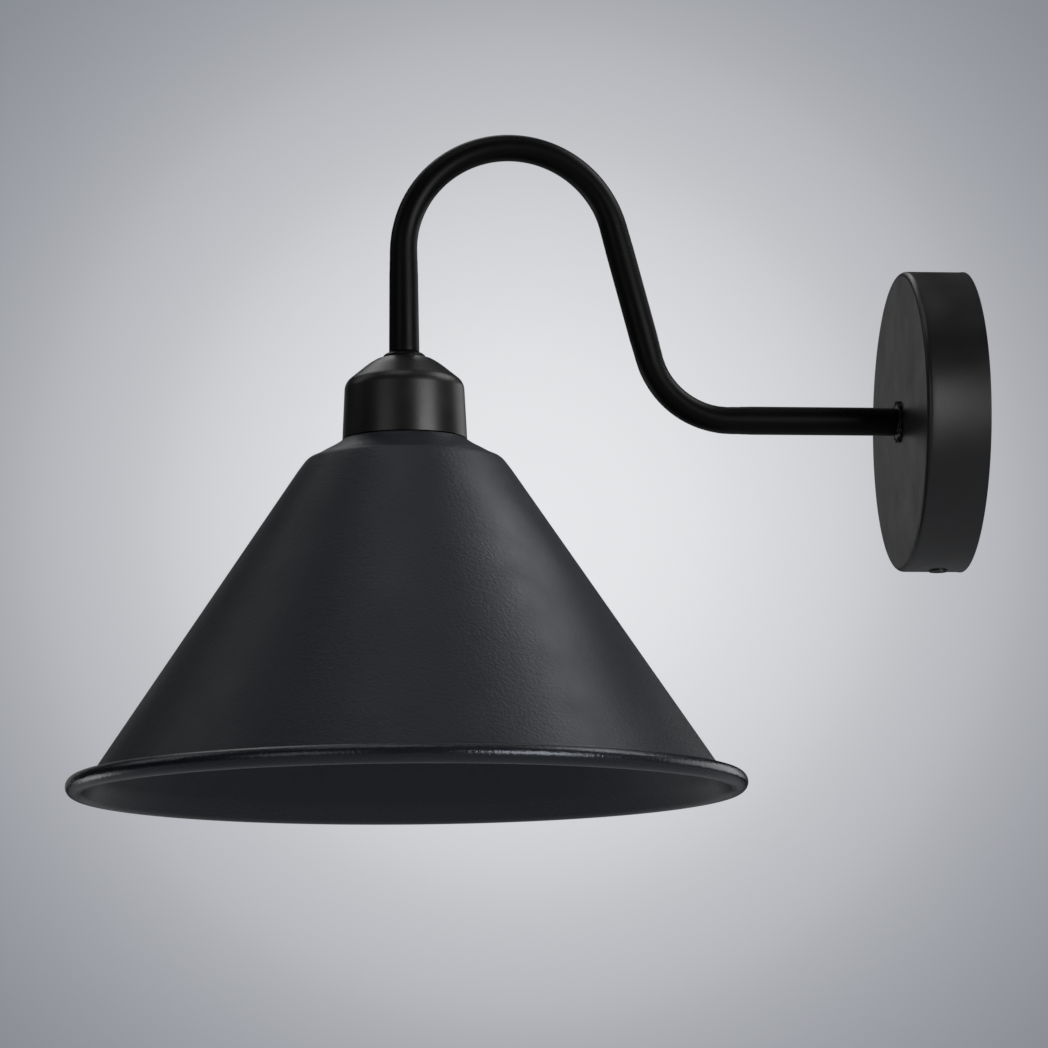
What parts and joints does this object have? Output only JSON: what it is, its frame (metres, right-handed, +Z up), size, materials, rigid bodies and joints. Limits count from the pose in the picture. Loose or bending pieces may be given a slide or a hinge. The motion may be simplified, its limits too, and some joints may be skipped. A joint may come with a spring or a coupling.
{
  "type": "swan-neck wall lamp",
  "caption": "Wall lamp: a round wall rose, a swan-neck tube arm, and a lampholder under a cover cup that carries a cone shade, mouth down.",
  "frame": {"origin": "centre of the wall bracket's back face, on the wall", "axes": "+X into the wall, +Z up; the lamp stands out along -X with its shade's mouth facing -Z"},
  "size_m": [0.3559, 0.2658, 0.2649],
  "materials": {
    "shade_powder_coat": "matt fine-textured powder coat, charcoal black",
    "satin_black": "smooth satin black paint",
    "arm_paint": "smooth semi-gloss black paint",
    "black_screw": "blackened steel",
    "zinc_plate": "bright zinc plate",
    "brass": "bare brass",
    "black_phenolic": "moulded black phenolic",
    "white_ceramic": "unglazed white porcelain",
    "white_nylon": "moulded natural nylon",
    "brown_insulation": "brown PVC insulation",
    "blue_insulation": "blue PVC insulation",
    "green_insulation": "green PVC insulation"
  },
  "bodies": {
    "lamp": {"wall_rose": "satin_black", "wall_bracket": "zinc_plate", "rose_screw_upper": "black_screw", "rose_screw_lower": "black_screw", "tooth_washer": "black_screw", "rose_nipple": "zinc_plate", "earth_tag_rose": "zinc_plate", "rose_washer": "zinc_plate", "rose_nut": "zinc_plate", "earth_tag_bracket": "zinc_plate", "earth_screw": "brass", "earth_lead": "green_insulation", "terminal_block": "white_nylon", "block_fixing_screw": "zinc_plate", "clamp_sleeve_live": "brass", "clamp_screw_live_lamp": "zinc_plate", "clamp_screw_live_supply": "zinc_plate", "clamp_sleeve_neutral": "brass", "clamp_screw_neutral_lamp": "zinc_plate", "clamp_screw_neutral_supply": "zinc_plate", "arm_tube": "arm_paint", "live_wire": "brown_insulation", "neutral_wire": "blue_insulation", "collar_washer": "arm_paint", "holder_cup": "satin_black", "holder_nipple": "zinc_plate", "cup_nut": "zinc_plate", "holder_dome": "black_phenolic", "holder_skirt": "black_phenolic", "contact_insert": "white_ceramic", "screw_shell": "brass", "contact_spring": "zinc_plate", "centre_terminal": "brass", "side_contact": "brass", "terminal_screw_centre": "zinc_plate", "terminal_screw_side": "zinc_plate"},
    "shade": {"shade": "shade_powder_coat"},
    "shade_ring": {"shade_ring": "black_phenolic"},
    "centre_contact": {"centre_contact": "brass"}
  },
  "joints": [
    {"name": "shade_drop", "type": "slide", "parent": "lamp", "child": "shade", "axis": [0, 0, 1], "range_m": [-0.028, 0]},
    {"name": "ring_unscrew", "type": "hinge", "parent": "shade", "child": "shade_ring", "pos_m": [-0.223, 0, -0.01], "axis": [0, 0, 1], "range_deg": [-5050, 10]},
    {"name": "contact_press", "type": "slide", "parent": "lamp", "child": "centre_contact", "axis": [0, 0, 1], "range_m": [0, 0.0015], "stiffness_N_per_m": 1500, "deforming": ["contact_spring"]}
  ],
  "couplings": [
    {"joint": "ring_unscrew", "follows": "shade_drop", "rad_per_m": 3141.6}
  ]
}
